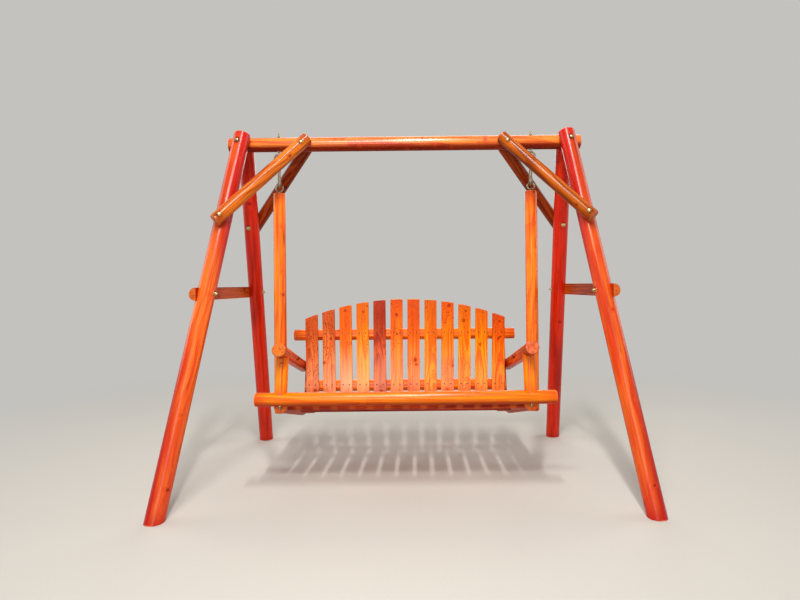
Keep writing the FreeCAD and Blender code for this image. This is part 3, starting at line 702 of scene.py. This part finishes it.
# Knots that stand out: how far to the right, how far below the board's top, radius, in metres
BIG_KNOTS = {2: [(0.010, 0.160, 0.007)],
             3: [(0.000, 0.030, 0.009)],
             4: [(0.005, 0.055, 0.008)],
             6: [(0.000, 0.087, 0.011), (0.002, 0.190, 0.007)],
             7: [(0.008, 0.330, 0.011)],
             9: [(0.009, 0.024, 0.012)],
             10: [(-0.004, 0.091, 0.011), (0.006, 0.039, 0.008)],
             11: [(-0.008, 0.200, 0.007)],
             12: [(0.006, 0.045, 0.009), (0.000, 0.140, 0.008)]}
for number, (kind, foot_share) in enumerate(BACK_SLATS):
    node = "back_slat_%02d" % (number + 1)
    side = 1 if number % 2 else -1
    stained_wood("stain_" + node, node, BOARD_TONES[kind], 71.3 + number * 3.19, board=True,
                 pith=(side * 0.014, 0.055 + 0.012 * (number % 3)), ring=0.0056,
                 knot_share=0.75, knot_size=0.010, knot_spacing=0.065,
                 specks=0.55 + 0.45 * (number % 4 < 2), blush_share=0.3, foot_tone=FOOT_TONE,
                 foot_share=foot_share, contrast=1.25, gloss=0.14,
                 big_knots=BIG_KNOTS.get(number + 1, ()))
stained_wood("stain_seat_slats", "seat_slats", BOARD_TONES["orange"], 131.0, board=True,
             pith=(0.006, -0.06), ring=0.0052, gloss=0.25, specks=0.6,
             along=(0, math.cos(SEAT_TILT), -math.sin(SEAT_TILT)),
             row=(SEAT_BOARDS, SEAT_PITCH))
print("boards stained:", len(BACK_SLATS) + SEAT_BOARDS)

# %% [markdown]
# ## Threads, nuts and washers
# On the real swing each bolt ends in a few turns of thread behind a hexagonal nut with chamfered
# corners. The solids have plain rods and prisms there. A modifier could bevel the prisms, but a
# formula gives the curved edge that a chamfer cuts on a hexagon, so the fixings are surfaces
# worked out on a grid: one direction goes round the bolt, the other along it.

# %% Surfaces round a bolt's axis
ROUND = 48
ANGLES = np.linspace(0, 2 * np.pi, ROUND, endpoint=False)
BORE_RADIUS = 0.0053
NUT_HEIGHT, NUT_HALF_ACROSS, CHAMFER_START = 0.008, 0.0085, 0.0081
WASHER_THICK, WASHER_RADIUS, WASHER_LIP = 0.002, 0.011, 0.0004
THREAD_PITCH, THREAD_DEPTH, THREAD_ROWS, THREAD_CLEAR = 0.0015, 0.0006, 8, 0.00003


def nut_rows():
    """Height below the nut's top and radius, on a grid closed both ways.

    A hexagon's radius is half its width over the cosine of the angle from the nearest flat's
    middle. A 30 degree cone cuts the corners: no row is wider than the cone is there."""
    flat = NUT_HALF_ACROSS / np.cos((ANGLES + np.pi / 6) % (np.pi / 3) - np.pi / 6)
    below = np.array([0, 0, 0.0003, 0.0006, 0.0010, 0.0070, 0.0074, 0.0077, 0.008, 0.008])
    cone = CHAMFER_START + np.minimum(below, NUT_HEIGHT - below) * 3 ** 0.5
    radius = np.minimum(flat[None, :], cone[:, None])
    radius[0] = radius[-1] = BORE_RADIUS
    return below[:, None] + 0 * radius, radius


def washer_rows():
    """A flat ring with its punched edge rounded over."""
    below = np.array([0, 0, WASHER_LIP, WASHER_THICK - WASHER_LIP, WASHER_THICK, WASHER_THICK])
    edge = WASHER_RADIUS - WASHER_LIP
    radius = np.array([BORE_RADIUS, edge, WASHER_RADIUS, WASHER_RADIUS, edge, BORE_RADIUS])
    return below[:, None] + 0 * ANGLES, radius[:, None] + 0 * ANGLES


def thread_rows(length, core):
    """A thread: the radius is the core plus a triangle wave of height over pitch less turn.

    The last pitch tapers off, as a chamfered bolt end does."""
    below = np.linspace(0, length, int(length / THREAD_PITCH * THREAD_ROWS) + 1)[:, None]
    wave = np.abs(((below / THREAD_PITCH + ANGLES / (2 * np.pi)) % 1) * 2 - 1)
    taper = np.clip(below / THREAD_PITCH, 0, 1)
    return below + 0 * ANGLES, core + THREAD_CLEAR + THREAD_DEPTH * (wave * taper)


def skin(name, parts, smooth=False):
    """One mesh from many grids. A part is a top point, an axis, rows, and whether it is a ring.

    Place = top point less axis times depth, plus the radius times a turning direction. Grids wrap
    round; a ring also joins its last row to its first, and other grids are capped."""
    points, faces, start = [], [], 0
    for top, along, (below, radius), is_ring in parts:
        guide = np.array([1.0, 0, 0]) if abs(along[0]) < 0.8 else np.array([0, 0, 1.0])
        u = guide - along * (guide @ along)
        u = u / np.linalg.norm(u)
        turn = np.cos(ANGLES)[:, None] * u + np.sin(ANGLES)[:, None] * np.cross(along, u)
        points.append((top - below[..., None] * along + radius[..., None] * turn).reshape(-1, 3))
        rows = len(below)
        row = np.arange(rows if is_ring else rows - 1)[:, None]
        col = np.arange(ROUND)[None, :]
        under, after = (row + 1) % rows, (col + 1) % ROUND
        faces += (start + np.stack([row * ROUND + col, under * ROUND + col,
                                    under * ROUND + after, row * ROUND + after],
                                   -1).reshape(-1, 4)).tolist()
        if not is_ring:
            faces += [(start + np.arange(ROUND)).tolist(),
                      (start + (rows - 1) * ROUND + np.arange(ROUND)[::-1]).tolist()]
        start += rows * ROUND
    mesh = bpy.data.meshes.new(name)
    mesh.from_pydata(np.concatenate(points).tolist(), [], faces)
    mesh.polygons.foreach_set("use_smooth", [smooth] * len(mesh.polygons))
    piece = bpy.data.objects.new(name, mesh)
    bpy.context.scene.collection.objects.link(piece)
    return piece


print("points of a nut's surface:", nut_rows()[0].size)

# %% Shaped nuts in place of the prisms, and threads on the bare ends
BOLT_TIP, SHANK_RADIUS = 0.006, 0.005
STUD_TIP, STUD_RADIUS = 0.016, 0.0045
THREAD_START = 0.0003
SHAPED = {"leg_top": "frame", "knee_brace": "frame", "cross_brace": "frame",
          "hanger": "bench", "upright": "bench"}
eye_ends = []
for node in ("left_eye_bolt", "right_eye_bolt"):
    low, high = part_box(node)
    eye_ends.append((np.array([*((low + high) / 2)[:2], high[2]]), np.array([0, 0, 1.0])))
fixings = {}
for kind in [*SHAPED, "eye_bolt"]:
    bare, core = (STUD_TIP, STUD_RADIUS) if kind == "eye_bolt" else (BOLT_TIP, SHANK_RADIUS)
    ends = eye_ends if kind == "eye_bolt" else [(tip, along) for tip, along, _ in BOLTS[kind]]
    body = SHAPED.get(kind, "frame")
    nuts = skin(kind + "_shaped_nuts",
                [(tip - along * bare, along, nut_rows(), True) for tip, along in ends]
                + [(tip - along * (bare + NUT_HEIGHT), along, washer_rows(), True)
                   for tip, along in ends])
    threads = skin(kind + "_threads",
                   [(tip, along, thread_rows(bare - THREAD_START, core), False)
                    for tip, along in ends], smooth=True)
    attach(nuts, body)
    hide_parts(kind + "_nuts")
    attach(threads, body)
    for piece in (nuts, threads):
        "plated_steel" if kind != "eye_bolt" else "galvanised_steel"
    fixings[kind] = (nuts, threads)
    points, _ = surface_of(nuts.data)
    solid_low, solid_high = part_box(kind + "_nuts")
    print(kind, len(ends), "nuts; box against the solids' in mm:",
          ((points.min(0) - solid_low) * 1000).round(2),
          ((points.max(0) - solid_high) * 1000).round(2))

# %% [markdown]
# ## Metal
# The bolts are yellow-passivated zinc, those at the leg tops darker as painted shade of their
# recesses, the eyes and links a darker zinc, the nails dull steel.
# Zinc is never one grey: it has pale and dark islands, and it is rougher where it has dulled.

# %% Metal finishes
CRYSTALS_PER_METRE = 420.0


def plated(name, node_names, bright, dull, seed, rough=(0.26, 0.5), kinds=()):
    """Metal whose tone and roughness follow small cells and broad tarnish."""
    recipe = Recipe(bpy.data.materials.new(name))
    place = recipe.add("ShaderNodeTexCoord")[3]
    cells = recipe.add("ShaderNodeTexVoronoi", {"voronoi_dimensions": "3D"},
                       {"Vector": place, "Scale": CRYSTALS_PER_METRE})[1]
    grey = recipe.add("ShaderNodeSeparateColor", {}, {0: cells})[0]
    tarnish = recipe.noise(place, (130.0, 130.0, 130.0), seed, 3.0, 0.6)
    wear = grey * 0.35 + tarnish.rise(0.35, 0.7) * 0.65
    scratch = recipe.noise(place, (900.0, 900.0, 900.0), seed + 2.0, 2.0)
    recipe.feed(Base_Color=recipe.mix(wear, tint(bright), tint(dull)), Metallic=1.0,
                Roughness=wear * (rough[1] - rough[0]) + rough[0],
                Normal=recipe.bump(scratch * 0.3 + tarnish * 0.7, 0.00025))
    pieces = [nodes[node] for node in node_names]
    for piece in pieces + [piece for kind in kinds for piece in fixings[kind]]:
        recipe.dress(piece)


plated("yellow_zinc", ["knee_brace_bolts", "cross_brace_bolts", "hanger_bolts", "upright_bolts"],
       (236, 220, 164), (158, 136, 86), 5.0, kinds=["leg_top", "knee_brace", "cross_brace"])
# The leg-top bolts get a darker zinc: painted shade of the recess they sit in.
plated("zinc_painted_shade", ["leg_top_bolts"], (206, 186, 140), (104, 84, 58), 6.0, (0.3, 0.55))
plated("bright_zinc", ["left_eye_bolt", "right_eye_bolt", "left_post_eye", "right_post_eye",
                       "left_link", "right_link", "arm_support_screws"],
       (186, 176, 154), (96, 80, 60), 8.0, (0.2, 0.42), kinds=["eye_bolt"])
plated("dull_steel", ["slat_nails", "back_rail_screws"], (112, 84, 62), (62, 38, 26), 12.0,
       (0.45, 0.7))
plated("stained_over_zinc", [], (140, 62, 30), (86, 30, 14), 14.0, (0.4, 0.6),
       kinds=["hanger", "upright"])
stained_wood("plain_dowel", "side_rail_dowels", ((222, 170, 112), (196, 136, 82), (190, 120, 70)),
             151.0, along=(0, 1, 0))
print("materials:", len(bpy.data.materials))

# %% [markdown]
# ## Floor and background
# A pale floor and a pale background keep the look of a plain studio. The background's brightness
# is for the camera and for reflections only; the world lights the object at a gentler level. Far
# off, the floor fades into the background for the same rays.

# %% Floor
FLOOR_TONE, PILE_TONE, FAR_TONE = (198, 195, 189), (190, 187, 180), (196, 194, 190)
FLOOR_REACH, FLOOR_DROP = 30, 0.0005
FADE_START, FADE_END = 0.9, 4.2


def direct_rays(recipe):
    """One for what the camera sees, straight, in a reflection or through glass."""
    rays = recipe.add("ShaderNodeLightPath")
    is_camera, is_glossy, is_transmission = rays[0], rays[3], rays[6]
    return is_camera.higher(is_glossy).higher(is_transmission)


floor_mesh = bpy.data.meshes.new("floor")
floor_mesh.from_pydata([(x * FLOOR_REACH, y * FLOOR_REACH, -FLOOR_DROP)
                        for x, y in ((-1, -1), (1, -1), (1, 1), (-1, 1))], [], [(0, 1, 2, 3)])
floor = bpy.data.objects.new("floor", floor_mesh)
bpy.context.scene.collection.objects.link(floor)
ground = Recipe(bpy.data.materials.new("pale_floor"))
spot = ground.add("ShaderNodeTexCoord")[3]
pile = ground.noise(spot, (160.0, 160.0, 160.0), 1.0, 3.0)
ground.feed(Base_Color=ground.mix(pile, tint(FLOOR_TONE), tint(PILE_TONE)), Roughness=0.9,
            Specular_IOR_Level=0.2)
from_centre = ground.add("ShaderNodeVectorMath", {"operation": "LENGTH"}, {0: spot})[1]
gone = from_centre.rise(FADE_START, FADE_END)
veil = ground.add("ShaderNodeEmission", {}, {"Color": tint(FAR_TONE), "Strength": 1.0})[0]
surface = Amount(ground, ground.shader.outputs[0])
blend = ground.add("ShaderNodeMixShader", {}, {0: gone * direct_rays(ground), 1: surface,
                                               2: veil})[0]
ground.fill(ground.tree.nodes["Material Output"].inputs[0], blend)
floor_mesh.materials.append(ground.owner)
print("floor laid, fading from", FADE_START, "to", FADE_END, "m")

# %% Background
GLOW_TONE, GLOW_LEVEL = (1.0, 0.98, 0.95, 1.0), 0.25

world = bpy.data.worlds.new("studio")
bpy.context.scene.world = world
sky = Recipe(world)
sky.tree.nodes.clear()
seen = sky.add("ShaderNodeBackground", {}, {"Color": tint(FAR_TONE), "Strength": 1.0})[0]
glow = sky.add("ShaderNodeBackground", {}, {"Color": GLOW_TONE, "Strength": GLOW_LEVEL})[0]
choose = sky.add("ShaderNodeMixShader", {}, {0: direct_rays(sky), 1: glow, 2: seen})[0]
sky.add("ShaderNodeOutputWorld", {}, {"Surface": choose})
print("nodes of the background:", len(sky.tree.nodes))

# %% [markdown]
# ## Lamps
# A varnished log shows a lamp as a streak along its length. The wide lamps in front and above
# give broad streaks, and the narrow one overhead gives each log a thin cream one and lets the
# gaps of the seat show in its shadow. Large weak lamps at the sides and behind keep the other
# views from going dark without a hard rim of light.


# %% Lamps
def soft_lamp(name, position, target, width, height, watts, warmth=(1.0, 0.97, 0.93)):
    """A rectangular lamp aimed at a point."""
    data = bpy.data.lights.new(name, "AREA")
    data.shape = "RECTANGLE"
    data.size, data.size_y = width, height
    data.energy = watts
    data.color = warmth
    lamp = bpy.data.objects.new(name, data)
    lamp.location = position
    lamp.rotation_euler = (Vector(target) - Vector(position)).to_track_quat("-Z", "Y").to_euler()
    bpy.context.scene.collection.objects.link(lamp)


# Name, place, what it is aimed at, width, height, watts
LAMPS = [("key", (-0.4, -2.9, 3.5), (0, 0, 0.8), 1.2, 0.4, 84),
         ("overhead", (0.1, -1.9, 3.9), (0.1, -0.1, 0.4), 0.12, 1.0, 85),
         ("tall_front", (-0.6, -4.9, 1.7), (0, 0, 0.9), 1.3, 2.2, 52),
         ("left_fill", (-4.2, 0.6, 2.4), (0, 0, 0.8), 2.8, 2.8, 55),
         ("right_fill", (4.2, 0.6, 2.4), (0, 0, 0.8), 2.8, 2.8, 55),
         ("back_fill", (0.4, 4.6, 3.6), (0, 0, 0.8), 4.2, 3.4, 115)]
for lamp in LAMPS:
    soft_lamp(*lamp)
bpy.context.scene.view_settings.view_transform = "Standard"
print("lamps:", len(LAMPS))
